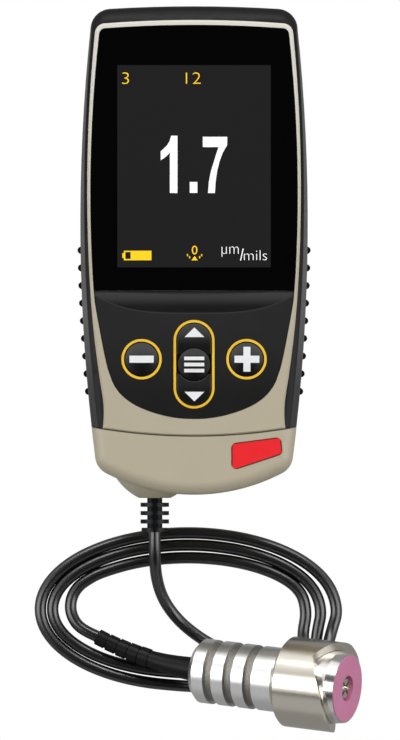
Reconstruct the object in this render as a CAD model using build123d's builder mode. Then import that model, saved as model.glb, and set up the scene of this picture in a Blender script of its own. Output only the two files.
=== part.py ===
from build123d import *
import math
import os

os.makedirs("parts", exist_ok=True)

# Body outline seen from the front: +Y is the display end, the back lies on Z = 0
body_width = 61.2
widest_y = 8.0
side_radius = 500.0
body_top = 66.2
top_corner_y = 65.2
top_corner_radius = 5.5
body_foot = -65.2
foot_corner_y = -58.0
foot_corner_radius = 5.5
back_round = 5.0

# Grip nubs down each side
nub_radius = 0.95
nub_pitch = 4.75
nub_first_y = 0.6
nub_count = 9
nub_low_z = 8.0
nub_height = 10.0
nub_sink = 0.1

# Heights above the table
front_z = 27.4
shell_front_z = 26.4
shell_round = 4.5
cap_round = 3.4
back_wall = 2.6
ledge_z = 19.0
side_wall = 2.6
seat_clearance = 0.1

# Curved seam between the body and the connector cap
seam_centre_y = -49.4
seam_half_width = 32.0
seam_rise = 3.3
seam_gap = 0.12
end_wall = 2.4

# Front chassis outline: the pale rim and chin
rim_top_y = 62.4
rim_corner = (26.4, 61.3)
rim_corner_radius = 2.8
rim_side = (28.7, 20.0)
rim_waist = (27.9, -10.0)
chin_neck = (24.7, -38.0)
chin_foot = (25.5, -52.0)
chassis_wall = 1.6
chassis_edge_round = 0.5
web_thickness = 1.8

# Black face outline: lens and keypad fascia together
face_top_y = 61.1
face_corner = (25.4, 60.1)
face_top_radius = 1.8
face_side = (27.9, 18.0)
face_waist = (27.3, -6.0)
face_foot = (22.6, -36.0)
face_foot_y = -44.8
face_foot_radius = 4.0
face_depth = 1.9
face_drop = 0.3
face_clearance = 0.08

# Display
lens_edge_y = -10.4
lens_gap = 0.1
lens_chamfer = 0.15
screen_width = 41.2
screen_height = 54.3
screen_y = 23.1
window_margin = 1.2
screen_edge = 0.6
display_frame = 2.6
display_gap = 0.2

# Scoop moulded into the fascia below the lens
scoop_half_width = 26.4
scoop_depth = 1.0
scoop_length = 5.9

# Keys and their coloured rings
key_y = -28.75
key_spacing = 28.2
key_ring_radius = 5.43
ring_width = 0.67
ring_depth = 0.6
pill_y = -30.1
pill_width = 11.0
pill_height = 23.8
menu_radius = 4.3
key_gap = 0.3
key_travel = 0.7
key_edge_rise = 0.1
key_dome_rise = 0.55
key_edge_round = 0.25
key_sheet_gap = 0.3
pill_split_y = 2.7

# Keypad sheet and switches under the keys
sheet_thickness = 1.2
sheet_rim = 1.4
sheet_margin = 2.4
switch_size = 4.5
switch_gap = 0.3

# Circuit board and its posts
board_width = 44.0
board_thickness = 1.6
board_drop = 1.0
board_top_y = 62.6
board_foot_y = -41.5
board_corner_radius = 3.0
post_radius = 2.0
post_spacing_x = 32.0
post_inset = 2.2
screw_radius = 1.0
screw_head_radius = 1.9
screw_head_height = 0.8
screw_length = 6.0

# Screws that hold the two shells
case_screw_top = (24.0, 54.0)
case_screw_foot = (20.6, -43.5)
case_boss_radius = 2.6
case_head_depth = 1.5

# Batteries, their contacts and the sliding door
cell_radius = 5.25
cell_length = 44.5
cell_pitch = 11.2
cell_count = 3
cell_clearance = 0.4
button_radius = 1.9
button_height = 0.8
bay_foot_y = 9.0
contact_thickness = 0.5
contact_bulge = 1.4
contact_share = 0.8
bay_clearance = 0.3
bay_wall = 1.2
door_thickness = 1.9
door_recess = 0.3
door_clearance = 0.15
door_margin = 2.0
tongue_width = 1.0
tongue_thickness = 0.8
grip_count = 5
grip_pitch = 1.8
grip_length = 16.0
grip_width = 0.9
grip_depth = 0.6
grip_inset = 8.0

# Sounder
sounder_radius = 6.0
sounder_height = 3.0
sounder_y = -16.0

# Socket in the body and plug in the cap
socket_width = 24.0
socket_height = 9.0
socket_depth = 10.0
tongue_plug_width = 17.0
tongue_plug_height = 4.6
plug_reach = 7.0
plug_clearance = 0.3
plug_block_depth = 9.5
plug_z = 11.5

# Cable boss, strain relief and cable
gland_x = -10.6
boss_end_y = -66.15
boss_end_radius = 4.3
boss_root_radius = 10.9
boss_root_y = -60.0
boss_root_sink = 4.0
boss_flare = (0.3, -0.6)
relief_core_radius = 2.05
relief_rib_radius = 3.85
relief_rib_thickness = 1.1
relief_rib_pitch = 2.25
relief_first_rib = 1.85
relief_rib_count = 4
relief_length = 9.2
relief_root = 3.0
relief_spine_width = 2.0
relief_spine_share = 0.9
relief_last_rib_share = 0.93
cable_diameter = 3.2
cable_rest_z = 1.65

# Plain badge on the cap: a sheared plate with rounded corners
badge_inset = 6.9
badge_points = [(-13.6, -51.4), (-0.4, -49.7), (0, -54.2), (-13.6, -58.7)]
badge_corner_radius = 1.4
badge_thickness = 0.8
badge_rise = 0.15

# Probe: the tail centre and the way its axis points
probe_tail = (1.5, -112.6, 10.55)
probe_yaw = -6.6
probe_pitch = 25.0
barrel_radius = 8.7
barrel_length = 26.8
barrel_chamfer = 1.5
first_ring_length = 4.9
ring_length = 3.5
groove_length = 2.45
groove_depth = 0.9
groove_count = 3
neck_length = 1.9
neck_depth = 0.6
barrel_bore = 5.2
tail_bore = 3.45
tail_wall = 5.0
head_radius = 12.2
head_length = 15.9
head_edge = 0.6
head_bore = 9.9
head_rear_wall = 4.0
notch_depth = 5.6
notch_turn = 51.0
nose_rear_radius = 9.8
nose_front_radius = 9.35
nose_rise = 1.3
nose_taper = 2.6
wear_radius = 9.0
wear_hole_radius = 3.5
wear_thickness = 2.4
wear_proud = 0.12
holder_radius = 3.1
holder_length = 9.0
holder_drop = 0.5
holder_slot_width = 0.7
holder_slot_depth = 3.2
holder_edge = 0.5
tip_radius = 0.8
tip_bore_gap = 0.05
tip_proud = 0.45
tip_cone_angle = 60.0
tip_length = 8.0
core_gap = 0.05

# Boot on the probe's tail
boot_length = 30.5
boot_root = 4.5
boot_root_radius = 3.35
boot_mid_radius = 2.35
boot_end_radius = 1.8
boot_sleeve_share = 0.48
boot_rib_count = 5
boot_rib_length = 2.6
boot_rib_rise = 0.35
boot_exit = 5.6
boot_bend = 29.9
boot_bend_lift = 42.5

# Coil on the table
coil_outer = (41.5, 22.2)
coil_outer_centre = (-1.65, -96.3)
coil_inner = (30.8, 13.8)
coil_inner_centre = (-1.8, -98.0)
coil_height = 3.25
crossing_shift = (-1.3, 1.05)
crossing_foot = (9.5, 5.0)
crossing_crest = (3.2, 2.2)
crossing_turn = 40.0
crossing_gap = 0.25

# Values worked out from the sizes above
web_top = front_z - face_depth
web_low = web_top - web_thickness
face_top = front_z - face_drop
board_z = ledge_z - board_drop - board_thickness
board_top = board_z + board_thickness
cell_z = door_recess + door_thickness + cell_radius + cell_clearance
bay_length = cell_length + 2 * contact_bulge + 2 * contact_thickness
bay_width = cell_pitch * (cell_count - 1) + 2 * cell_radius + 2 * bay_clearance
bay_y = bay_foot_y + bay_length / 2
door_width = bay_width + 2 * door_margin
door_foot_y = bay_foot_y - door_margin
sheet_top = web_low - sheet_rim
key_bottom = sheet_top + key_travel + key_sheet_gap
hole_radius = key_ring_radius - ring_width
relief_end_y = boss_end_y - relief_length
far = 200.0


def half_width(y):
    """Half the body's width at a height on its outline."""
    return body_width / 2 - side_radius + math.sqrt(side_radius**2 - (y - widest_y)**2)


def body_outline(growth=0.0):
    """Barrel outline that the rear shell, the battery door and the cap share."""
    top = (half_width(top_corner_y) + growth, top_corner_y + growth)
    side = (body_width / 2 + growth, widest_y)
    foot = (half_width(foot_corner_y) + growth, foot_corner_y - growth)
    with BuildSketch() as outline:
        with BuildLine():
            ThreePointArc(top, side, foot)
            mirror(about=Plane.YZ)
            ThreePointArc((-top[0], top[1]), (0, body_top + growth), top)
            ThreePointArc((-foot[0], foot[1]), (0, body_foot - growth), foot)
        make_face()
        fillet(outline.vertices().group_by(Axis.Y)[-1], top_corner_radius + growth)
        fillet(outline.vertices().group_by(Axis.Y)[0], foot_corner_radius + growth)
    return outline.sketch


def below_seam(drop):
    """Everything below the seam, moved down by a gap."""
    side_y = seam_centre_y + seam_rise - drop
    with BuildSketch() as region:
        with BuildLine():
            ThreePointArc((-seam_half_width, side_y), (0, seam_centre_y - drop), (seam_half_width, side_y))
            Polyline(
                (seam_half_width, side_y), (seam_half_width, -far),
                (-seam_half_width, -far), (-seam_half_width, side_y),
            )
        make_face()
    return region.sketch


def chassis_outline(growth=0.0):
    """Outline of the pale front chassis, down to the seam."""
    corner = (rim_corner[0] + growth, rim_corner[1] + growth)
    waist = (rim_waist[0] + growth, rim_waist[1])
    neck = (chin_neck[0] + growth, chin_neck[1])
    foot = (chin_foot[0] + growth, chin_foot[1])
    with BuildSketch() as outline:
        with BuildLine():
            right = ThreePointArc(corner, (rim_side[0] + growth, rim_side[1]), waist)
            flank = TangentArc(waist, neck, tangent=right % 1)
            TangentArc(neck, foot, tangent=flank % 1)
            mirror(about=Plane.YZ)
            ThreePointArc((-corner[0], corner[1]), (0, rim_top_y + growth), corner)
            Line((-foot[0], foot[1]), foot)
        make_face()
        fillet(outline.vertices().group_by(Axis.Y)[-1], rim_corner_radius + growth)
        add(below_seam(growth), mode=Mode.SUBTRACT)
    return outline.sketch


def face_outline(growth=0.0):
    """Outline of the black face."""
    corner = (face_corner[0] + growth, face_corner[1] + growth)
    waist = (face_waist[0] + growth, face_waist[1])
    foot = (face_foot[0] + growth, face_foot[1] - growth)
    with BuildSketch() as outline:
        with BuildLine():
            right = ThreePointArc(corner, (face_side[0] + growth, face_side[1]), waist)
            TangentArc(waist, foot, tangent=right % 1)
            mirror(about=Plane.YZ)
            ThreePointArc((-corner[0], corner[1]), (0, face_top_y + growth), corner)
            ThreePointArc((-foot[0], foot[1]), (0, face_foot_y - growth), foot)
        make_face()
        fillet(outline.vertices().group_by(Axis.Y)[-1], face_top_radius + growth)
        fillet(outline.vertices().group_by(Axis.Y)[0], face_foot_radius)
    return outline.sketch


def body_form(height, front_round):
    """Rounded block of the whole body, cap included."""
    with BuildPart() as form:
        with BuildSketch():
            add(body_outline())
        extrude(amount=height)
        fillet(form.faces().sort_by(Axis.Z)[-1].edges(), front_round)
        fillet(form.faces().sort_by(Axis.Z)[0].edges(), back_round)
    return form.part


def pill_outline(width, height):
    """Stadium shape of the middle key group."""
    with BuildSketch() as outline:
        SlotOverall(height, width, rotation=90)
    return outline.sketch


key_places = [(-key_spacing / 2, key_y), (key_spacing / 2, key_y)]
case_screw_places = [(side * x, y) for side in (-1, 1) for x, y in (case_screw_top, case_screw_foot)]
post_places = [
    (side * post_spacing_x / 2, y)
    for side in (-1, 1) for y in (board_top_y - post_inset, board_foot_y + post_inset)
]

# Rear shell, rubber over moulding, with the nubs of its two side grips
with BuildPart() as rear_housing:
    add(body_form(shell_front_z, shell_round))
    with BuildSketch(Plane.XY.offset(nub_low_z)):
        for index in range(nub_count):
            nub_y = nub_first_y - index * nub_pitch
            with Locations((half_width(nub_y) - nub_sink, nub_y), (nub_sink - half_width(nub_y), nub_y)):
                Circle(nub_radius)
    extrude(amount=nub_height)
    with BuildSketch(Plane.XY.offset(ledge_z)):
        add(chassis_outline(seat_clearance))
    extrude(amount=far, mode=Mode.SUBTRACT)
    with BuildSketch(Plane.XY.offset(back_wall)):
        add(body_outline(-side_wall))
        add(below_seam(-end_wall), mode=Mode.SUBTRACT)
    extrude(amount=ledge_z - back_wall, mode=Mode.SUBTRACT)
    # Walls of the battery bay, open to the back
    with BuildSketch(Plane.XY.offset(back_wall)):
        with Locations((0, bay_y)):
            Rectangle(bay_width + 2 * bay_wall, bay_length + 2 * bay_wall)
    extrude(amount=cell_z + cell_radius - back_wall)
    with BuildSketch():
        with Locations((0, bay_y)):
            Rectangle(bay_width, bay_length)
    extrude(amount=cell_z + cell_radius, mode=Mode.SUBTRACT)
    # Slot that the door slides in, out through the top end
    with BuildSketch():
        with Locations((0, door_foot_y - door_clearance)):
            Rectangle(door_width + 2 * door_clearance, far, align=(Align.CENTER, Align.MIN))
    extrude(amount=door_recess + door_thickness + door_clearance, mode=Mode.SUBTRACT)
    with BuildSketch(Plane.XY.offset(door_recess + door_thickness - tongue_thickness - door_clearance)):
        with Locations((0, door_foot_y - door_clearance)):
            Rectangle(
                door_width + 2 * (tongue_width + door_clearance), far, align=(Align.CENTER, Align.MIN)
            )
    extrude(amount=tongue_thickness + 2 * door_clearance, mode=Mode.SUBTRACT)
    # Board posts and screw bosses
    with BuildSketch(Plane.XY.offset(back_wall)):
        with Locations(*post_places):
            Circle(post_radius)
    extrude(amount=board_z - back_wall)
    with BuildSketch(Plane.XY.offset(board_z)):
        with Locations(*post_places):
            Circle(screw_radius)
    extrude(amount=-screw_length, mode=Mode.SUBTRACT)
    with BuildSketch(Plane.XY.offset(back_wall)):
        with Locations(*case_screw_places):
            Circle(case_boss_radius)
    extrude(amount=ledge_z - back_wall)
    with BuildSketch():
        with Locations(*case_screw_places):
            Circle(screw_radius)
    extrude(amount=far, mode=Mode.SUBTRACT)
    with BuildSketch():
        with Locations(*case_screw_places):
            Circle(screw_head_radius + seat_clearance)
    extrude(amount=case_head_depth + screw_head_height, mode=Mode.SUBTRACT)
    # Socket opening and the cut at the seam
    with BuildSketch(Plane.XZ.offset(-seam_centre_y)):
        with Locations((0, plug_z)):
            Rectangle(socket_width, socket_height)
    extrude(amount=-far, mode=Mode.SUBTRACT)
    with BuildSketch():
        add(below_seam(0))
    extrude(amount=far, mode=Mode.SUBTRACT)
rear_housing.part.label = "rear_housing"
export_step(rear_housing.part, "parts/rear_housing.step")

# Pale front chassis: rim, chin, and the web that carries lens and fascia
with BuildPart() as front_housing:
    with BuildSketch(Plane.XY.offset(ledge_z)):
        add(chassis_outline())
    extrude(amount=front_z - ledge_z)
    chamfer(front_housing.faces().sort_by(Axis.Z)[-1].edges(), chassis_edge_round)
    with BuildSketch(Plane.XY.offset(ledge_z)):
        add(chassis_outline(-chassis_wall))
    extrude(amount=web_low - ledge_z, mode=Mode.SUBTRACT)
    with BuildSketch(Plane.XY.offset(web_top)):
        add(face_outline())
    extrude(amount=far, mode=Mode.SUBTRACT)
    with BuildSketch(Plane.XY.offset(web_low)):
        with Locations((0, screen_y)):
            Rectangle(screen_width + 2 * window_margin, screen_height + 2 * window_margin)
        with Locations(*key_places):
            Circle(hole_radius)
        with Locations((0, pill_y)):
            add(pill_outline(pill_width - 2 * ring_width, pill_height - 2 * ring_width))
    extrude(amount=far, mode=Mode.SUBTRACT)
    with BuildSketch(Plane.XY.offset(ledge_z)):
        with Locations(*case_screw_places):
            Circle(case_boss_radius - seat_clearance)
    extrude(amount=web_low - ledge_z)
    with BuildSketch(Plane.XY.offset(ledge_z)):
        with Locations(*case_screw_places):
            Circle(screw_radius)
    extrude(amount=web_low - ledge_z, mode=Mode.SUBTRACT)
front_housing.part.label = "front_housing"
export_step(front_housing.part, "parts/front_housing.step")

# Display lens
with BuildPart() as display_lens:
    with BuildSketch(Plane.XY.offset(web_top)):
        add(face_outline(-face_clearance))
        with Locations((0, lens_edge_y + lens_gap / 2)):
            Rectangle(body_width, far, align=(Align.CENTER, Align.MIN), mode=Mode.INTERSECT)
    extrude(amount=face_top - web_top)
    chamfer(display_lens.faces().sort_by(Axis.Z)[-1].edges(), lens_chamfer)
display_lens.part.label = "display_lens"
export_step(display_lens.part, "parts/display_lens.step")

# Keypad fascia with the scoop, the key openings and the seats of the rings
with BuildPart() as keypad_fascia:
    with BuildSketch(Plane.XY.offset(web_top)):
        add(face_outline(-face_clearance))
        with Locations((0, lens_edge_y - lens_gap / 2)):
            Rectangle(body_width, far, align=(Align.CENTER, Align.MAX), mode=Mode.INTERSECT)
    extrude(amount=face_top - web_top)
    with BuildSketch(Plane.XY.offset(web_top)):
        with Locations(*key_places):
            Circle(hole_radius)
        with Locations((0, pill_y)):
            add(pill_outline(pill_width - 2 * ring_width, pill_height - 2 * ring_width))
    extrude(amount=far, mode=Mode.SUBTRACT)
    with BuildSketch(Plane.XY.offset(face_top - ring_depth)):
        with Locations(*key_places):
            Circle(key_ring_radius)
        with Locations((0, pill_y)):
            add(pill_outline(pill_width, pill_height))
    extrude(amount=far, mode=Mode.SUBTRACT)
    with BuildSketch(Plane.XZ.offset(-lens_edge_y)):
        with BuildLine():
            ThreePointArc(
                (-scoop_half_width, face_top), (0, face_top - scoop_depth), (scoop_half_width, face_top)
            )
            Polyline(
                (scoop_half_width, face_top), (scoop_half_width, front_z + scoop_depth),
                (-scoop_half_width, front_z + scoop_depth), (-scoop_half_width, face_top),
            )
        make_face()
    extrude(amount=2 * scoop_length, dir=(0, -scoop_length, scoop_depth), mode=Mode.SUBTRACT)
keypad_fascia.part.label = "keypad_fascia"
export_step(keypad_fascia.part, "parts/keypad_fascia.step")

# Coloured rings let into the fascia
for name, place in zip(("ring_minus", "ring_plus"), key_places):
    with BuildPart() as key_ring:
        with BuildSketch(Plane.XY.offset(face_top - ring_depth)):
            with Locations(place):
                Circle(key_ring_radius)
                Circle(hole_radius, mode=Mode.SUBTRACT)
        extrude(amount=ring_depth)
    key_ring.part.label = name
    export_step(key_ring.part, f"parts/{name}.step")

with BuildPart() as ring_pill:
    with BuildSketch(Plane.XY.offset(face_top - ring_depth)):
        with Locations((0, pill_y)):
            add(pill_outline(pill_width, pill_height))
            add(pill_outline(pill_width - 2 * ring_width, pill_height - 2 * ring_width), mode=Mode.SUBTRACT)
    extrude(amount=ring_depth)
ring_pill.part.label = "ring_pill"
export_step(ring_pill.part, "parts/ring_pill.step")


def round_key(name, place, radius):
    """Round key with a domed top."""
    edge_z = face_top + key_edge_rise
    top_z = face_top + key_dome_rise
    centre = Plane(origin=(place[0], place[1], 0), x_dir=(1, 0, 0), z_dir=(0, -1, 0))
    with BuildPart() as key:
        with BuildSketch(centre):
            with BuildLine():
                ThreePointArc((-radius, edge_z), (0, top_z), (radius, edge_z))
                Polyline((radius, edge_z), (radius, key_bottom), (-radius, key_bottom), (-radius, edge_z))
            make_face()
            with Locations((0, (key_bottom + top_z) / 2)):
                Rectangle(radius, far, align=(Align.MIN, Align.CENTER), mode=Mode.INTERSECT)
        revolve(axis=Axis((place[0], place[1], 0), (0, 0, 1)))
    key.part.label = name
    export_step(key.part, f"parts/{name}.step")


round_key("key_minus", key_places[0], hole_radius - key_gap)
round_key("key_plus", key_places[1], hole_radius - key_gap)
round_key("key_menu", (0, pill_y), menu_radius)

# Up and down keys: the two ends of the pill, cut round the menu key
for name, end in (("key_up", 1), ("key_down", -1)):
    with BuildPart() as end_key:
        with BuildSketch(Plane.XY.offset(key_bottom)):
            with Locations((0, pill_y)):
                add(pill_outline(
                    pill_width - 2 * ring_width - 2 * key_gap, pill_height - 2 * ring_width - 2 * key_gap
                ))
                Circle(menu_radius + key_gap, mode=Mode.SUBTRACT)
            with Locations((0, pill_y + end * (pill_split_y + pill_height / 2))):
                Rectangle(pill_width, pill_height, mode=Mode.INTERSECT)
        extrude(amount=face_top + key_dome_rise - key_bottom)
        chamfer(end_key.faces().sort_by(Axis.Z)[-1].edges(), key_edge_round)
    end_key.part.label = name
    export_step(end_key.part, f"parts/{name}.step")

# Silicone keypad sheet: a shallow tray held against the web
sheet_width = key_spacing + 2 * key_ring_radius + 2 * sheet_margin
sheet_height = pill_height + 2 * sheet_margin
with BuildPart() as keypad_sheet:
    with BuildSketch(Plane.XY.offset(sheet_top - sheet_thickness)):
        with Locations((0, pill_y)):
            RectangleRounded(sheet_width - 4 * sheet_margin, sheet_height, sheet_margin)
            RectangleRounded(sheet_width, sheet_height - 4 * sheet_margin, sheet_margin)
    extrude(amount=web_low - sheet_top + sheet_thickness)
    with BuildSketch(Plane.XY.offset(sheet_top)):
        with Locations(*key_places):
            Circle(key_ring_radius)
        with Locations((0, pill_y)):
            add(pill_outline(pill_width, pill_height))
    extrude(amount=far, mode=Mode.SUBTRACT)
keypad_sheet.part.label = "keypad_sheet"
export_step(keypad_sheet.part, "parts/keypad_sheet.step")

# Circuit board
board_y = (board_top_y + board_foot_y) / 2
with BuildPart() as circuit_board:
    with BuildSketch(Plane.XY.offset(board_z)):
        with Locations((0, board_y)):
            RectangleRounded(board_width, board_top_y - board_foot_y, board_corner_radius)
        with Locations(*case_screw_places):
            Circle(case_boss_radius + 2 * seat_clearance, mode=Mode.SUBTRACT)
        with Locations(*post_places):
            Circle(screw_radius, mode=Mode.SUBTRACT)
    extrude(amount=board_thickness)
circuit_board.part.label = "circuit_board"
export_step(circuit_board.part, "parts/circuit_board.step")

# Screws of the board, head up
with BuildPart() as board_screws:
    with BuildSketch(Plane.XY.offset(board_top - screw_length)):
        with Locations(*post_places):
            Circle(screw_radius)
    extrude(amount=screw_length)
    with BuildSketch(Plane.XY.offset(board_top)):
        with Locations(*post_places):
            Circle(screw_head_radius)
    extrude(amount=screw_head_height)
board_screws.part.label = "board_screws"
export_step(board_screws.part, "parts/board_screws.step")

# Screws of the two shells, from the back
with BuildPart() as case_screws:
    with BuildSketch(Plane.XY.offset(case_head_depth)):
        with Locations(*case_screw_places):
            Circle(screw_head_radius)
    extrude(amount=screw_head_height)
    with BuildSketch(Plane.XY.offset(case_head_depth + screw_head_height)):
        with Locations(*case_screw_places):
            Circle(screw_radius)
    extrude(amount=ledge_z - case_head_depth)
case_screws.part.label = "case_screws"
export_step(case_screws.part, "parts/case_screws.step")

# Display module on the board
with BuildPart() as display_module:
    with BuildSketch(Plane.XY.offset(board_top)):
        with Locations((0, screen_y)):
            Rectangle(screen_width + 2 * screen_edge, screen_height + 2 * display_frame)
    extrude(amount=web_low - display_gap - board_top)
display_module.part.label = "display_module"
export_step(display_module.part, "parts/display_module.step")

# Switches on the board, one under each key
switch_places = key_places + [(0, pill_y), (0, pill_y + pill_height / 3), (0, pill_y - pill_height / 3)]
with BuildPart() as key_switches:
    with BuildSketch(Plane.XY.offset(board_top)):
        with Locations(*switch_places):
            Rectangle(switch_size, switch_size)
    extrude(amount=sheet_top - sheet_thickness - switch_gap - board_top)
key_switches.part.label = "key_switches"
export_step(key_switches.part, "parts/key_switches.step")

# Sounder under the board
with BuildPart() as sounder:
    with BuildSketch(Plane.XY.offset(board_z - sounder_height)):
        with Locations((0, sounder_y)):
            Circle(sounder_radius)
    extrude(amount=sounder_height)
sounder.part.label = "sounder"
export_step(sounder.part, "parts/sounder.step")

# Three battery cells, each with its button end
button_radius = 1.9
button_height = 0.8
for index in range(cell_count):
    cell_x = (index - (cell_count - 1) / 2) * cell_pitch
    end = 1 if index % 2 == 0 else -1
    with BuildPart() as battery_cell:
        with BuildSketch(Plane(origin=(cell_x, bay_y - end * cell_length / 2, cell_z), z_dir=(0, end, 0))):
            Circle(cell_radius)
        extrude(amount=cell_length - button_height)
        with BuildSketch(Plane(origin=(cell_x, bay_y + end * cell_length / 2, cell_z), z_dir=(0, end, 0))):
            Circle(button_radius)
        extrude(amount=-button_height)
    battery_cell.part.label = f"battery_cell_{index + 1}"
    export_step(battery_cell.part, f"parts/battery_cell_{index + 1}.step")

# Contact plates at the two ends of the bay
for name, end in (("contact_plate_top", 1), ("contact_plate_foot", -1)):
    plate_y = bay_y + end * bay_length / 2
    with BuildPart() as contact_plate:
        with BuildSketch(Plane(origin=(0, plate_y, cell_z), x_dir=(1, 0, 0), z_dir=(0, -end, 0))):
            Rectangle(bay_width, contact_share * 2 * cell_radius)
        extrude(amount=contact_thickness)
        with BuildSketch(Plane(origin=(0, plate_y, cell_z), x_dir=(1, 0, 0), z_dir=(0, -end, 0))):
            with GridLocations(cell_pitch, 0, cell_count, 1):
                Circle(button_radius)
        extrude(amount=contact_thickness + contact_bulge)
    contact_plate.part.label = name
    export_step(contact_plate.part, f"parts/{name}.step")

# Battery door: part of the body's own form, on two side tongues
with BuildPart() as battery_door:
    add(body_form(shell_front_z, shell_round))
    with BuildSketch(Plane.XY.offset(door_recess)):
        with Locations((0, door_foot_y)):
            Rectangle(door_width, far, align=(Align.CENTER, Align.MIN))
    extrude(amount=door_thickness, mode=Mode.INTERSECT)
    with BuildSketch(Plane.XY.offset(door_recess + door_thickness - tongue_thickness)):
        with Locations((0, door_foot_y)):
            Rectangle(
                door_width + 2 * tongue_width, bay_length + 2 * door_margin, align=(Align.CENTER, Align.MIN)
            )
    extrude(amount=tongue_thickness)
    with BuildSketch(Plane.XY.offset(door_recess)):
        with Locations((0, door_foot_y + grip_inset)):
            with GridLocations(grip_length, grip_pitch, 1, grip_count):
                Rectangle(grip_length, grip_width)
    extrude(amount=grip_depth, mode=Mode.SUBTRACT)
battery_door.part.label = "battery_door"
export_step(battery_door.part, "parts/battery_door.step")

# Socket inside the body's end wall
inner_wall_y = seam_centre_y + end_wall
with BuildPart() as body_socket:
    with BuildSketch(Plane.XZ.offset(-inner_wall_y)):
        with Locations((0, plug_z)):
            Rectangle(socket_width - 2 * seat_clearance, socket_height - 2 * seat_clearance)
    extrude(amount=-socket_depth)
    with BuildSketch(Plane.XZ.offset(-inner_wall_y)):
        with Locations((0, plug_z)):
            Rectangle(tongue_plug_width + 2 * plug_clearance, tongue_plug_height + 2 * plug_clearance)
    extrude(amount=-plug_reach, mode=Mode.SUBTRACT)
body_socket.part.label = "body_socket"
export_step(body_socket.part, "parts/body_socket.step")


def cable_boss():
    """Turned shape of the boss that the cable leaves by."""
    mid_radius = (boss_root_radius + boss_end_radius) / 2
    flare = (mid_radius + boss_flare[0], (boss_root_y + boss_end_y) / 2 + boss_flare[1])
    with BuildPart() as boss:
        with BuildSketch(Plane(origin=(gland_x, 0, plug_z), x_dir=(1, 0, 0), z_dir=(0, 0, 1))):
            with BuildLine():
                ThreePointArc((boss_root_radius, boss_root_y), flare, (boss_end_radius, boss_end_y))
                Polyline(
                    (boss_end_radius, boss_end_y), (0, boss_end_y), (0, boss_root_y + boss_root_sink),
                    (boss_root_radius, boss_root_y + boss_root_sink), (boss_root_radius, boss_root_y),
                )
            make_face()
        revolve(axis=Axis((gland_x, 0, plug_z), (0, 1, 0)))
    return boss.part


def badge_face(growth):
    """Sheared badge outline, grown for its seat."""
    with BuildSketch() as outline:
        with BuildLine():
            Polyline(*[(body_width / 2 - badge_inset + x, y) for x, y in badge_points], close=True)
        make_face()
        fillet(outline.vertices(), badge_corner_radius)
    with BuildSketch() as grown:
        offset(outline.sketch, amount=growth)
    return grown.sketch


# Connector cap with its cable boss, badge seat and plug pocket
pocket_width = socket_width
pocket_height = socket_height + 2
with BuildPart() as connector_cap:
    add(body_form(front_z, cap_round))
    add(cable_boss())
    with BuildSketch():
        Rectangle(far, far)
        add(below_seam(seam_gap), mode=Mode.SUBTRACT)
    extrude(amount=far, mode=Mode.SUBTRACT)
    with BuildSketch(Plane.XZ.offset(-seam_centre_y)):
        with Locations((0, plug_z)):
            Rectangle(pocket_width, pocket_height)
    extrude(amount=plug_block_depth, both=True, mode=Mode.SUBTRACT)
    with BuildSketch(Plane.XZ.offset(-boss_end_y)):
        with Locations((gland_x, plug_z)):
            Circle(relief_core_radius)
    extrude(amount=-relief_root, mode=Mode.SUBTRACT)
    with BuildSketch(Plane.XY.offset(front_z - badge_thickness + badge_rise)):
        add(badge_face(seat_clearance))
    extrude(amount=far, mode=Mode.SUBTRACT)
connector_cap.part.label = "connector_cap"
export_step(connector_cap.part, "parts/connector_cap.step")

# Badge plate, left plain
with BuildPart() as badge_plate:
    with BuildSketch(Plane.XY.offset(front_z - badge_thickness + badge_rise)):
        add(badge_face(0))
    extrude(amount=badge_thickness)
badge_plate.part.label = "badge_plate"
export_step(badge_plate.part, "parts/badge_plate.step")

# Plug: a block in the cap and the tongue that enters the socket
with BuildPart() as connector_plug:
    with BuildSketch(Plane.XZ.offset(-seam_centre_y + plug_block_depth)):
        with Locations((0, plug_z)):
            Rectangle(pocket_width - 2 * seat_clearance, pocket_height - 2 * seat_clearance)
    extrude(amount=-(plug_block_depth - seam_gap - plug_clearance))
    with BuildSketch(Plane.XZ.offset(-seam_centre_y + plug_block_depth)):
        with Locations((0, plug_z)):
            Rectangle(tongue_plug_width, tongue_plug_height)
    extrude(amount=-(plug_block_depth + end_wall + plug_reach - plug_clearance))
connector_plug.part.label = "connector_plug"
export_step(connector_plug.part, "parts/connector_plug.step")

# Ribbed strain relief
with BuildPart() as strain_relief:
    with BuildSketch(Plane.XZ.offset(-boss_end_y - relief_root)):
        with Locations((gland_x, plug_z)):
            Circle(relief_core_radius)
    extrude(amount=relief_root + relief_length)
    for index in range(relief_rib_count):
        rib_y = relief_first_rib + index * relief_rib_pitch - relief_rib_thickness / 2
        last_rib = index == relief_rib_count - 1
        with BuildSketch(Plane.XZ.offset(-boss_end_y + rib_y)):
            with Locations((gland_x, plug_z)):
                Circle(relief_rib_radius * (relief_last_rib_share if last_rib else 1))
        extrude(amount=relief_rib_thickness)
    with BuildSketch(Plane.XZ.offset(-boss_end_y)):
        with Locations((gland_x, plug_z)):
            Rectangle(relief_spine_width, 2 * relief_spine_share * relief_rib_radius)
    extrude(amount=relief_first_rib + (relief_rib_count - 1) * relief_rib_pitch)
strain_relief.part.label = "strain_relief"
export_step(strain_relief.part, "parts/strain_relief.step")

# Frame of the probe: x runs along its axis to the nose
yaw = math.radians(probe_yaw)
pitch = math.radians(probe_pitch)
probe_axis = Vector(math.cos(pitch) * math.cos(yaw), math.cos(pitch) * math.sin(yaw), math.sin(pitch))
probe_up = Vector(-math.sin(pitch) * math.cos(yaw), -math.sin(pitch) * math.sin(yaw), math.cos(pitch))
probe_plane = Plane(origin=probe_tail, x_dir=probe_axis, z_dir=probe_up)
turning_axis = Axis(probe_plane.origin, probe_axis)
head_start = barrel_length
head_end = barrel_length + head_length
nose_end = head_end + nose_rise
nose_start = head_start + head_rear_wall + seat_clearance


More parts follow.
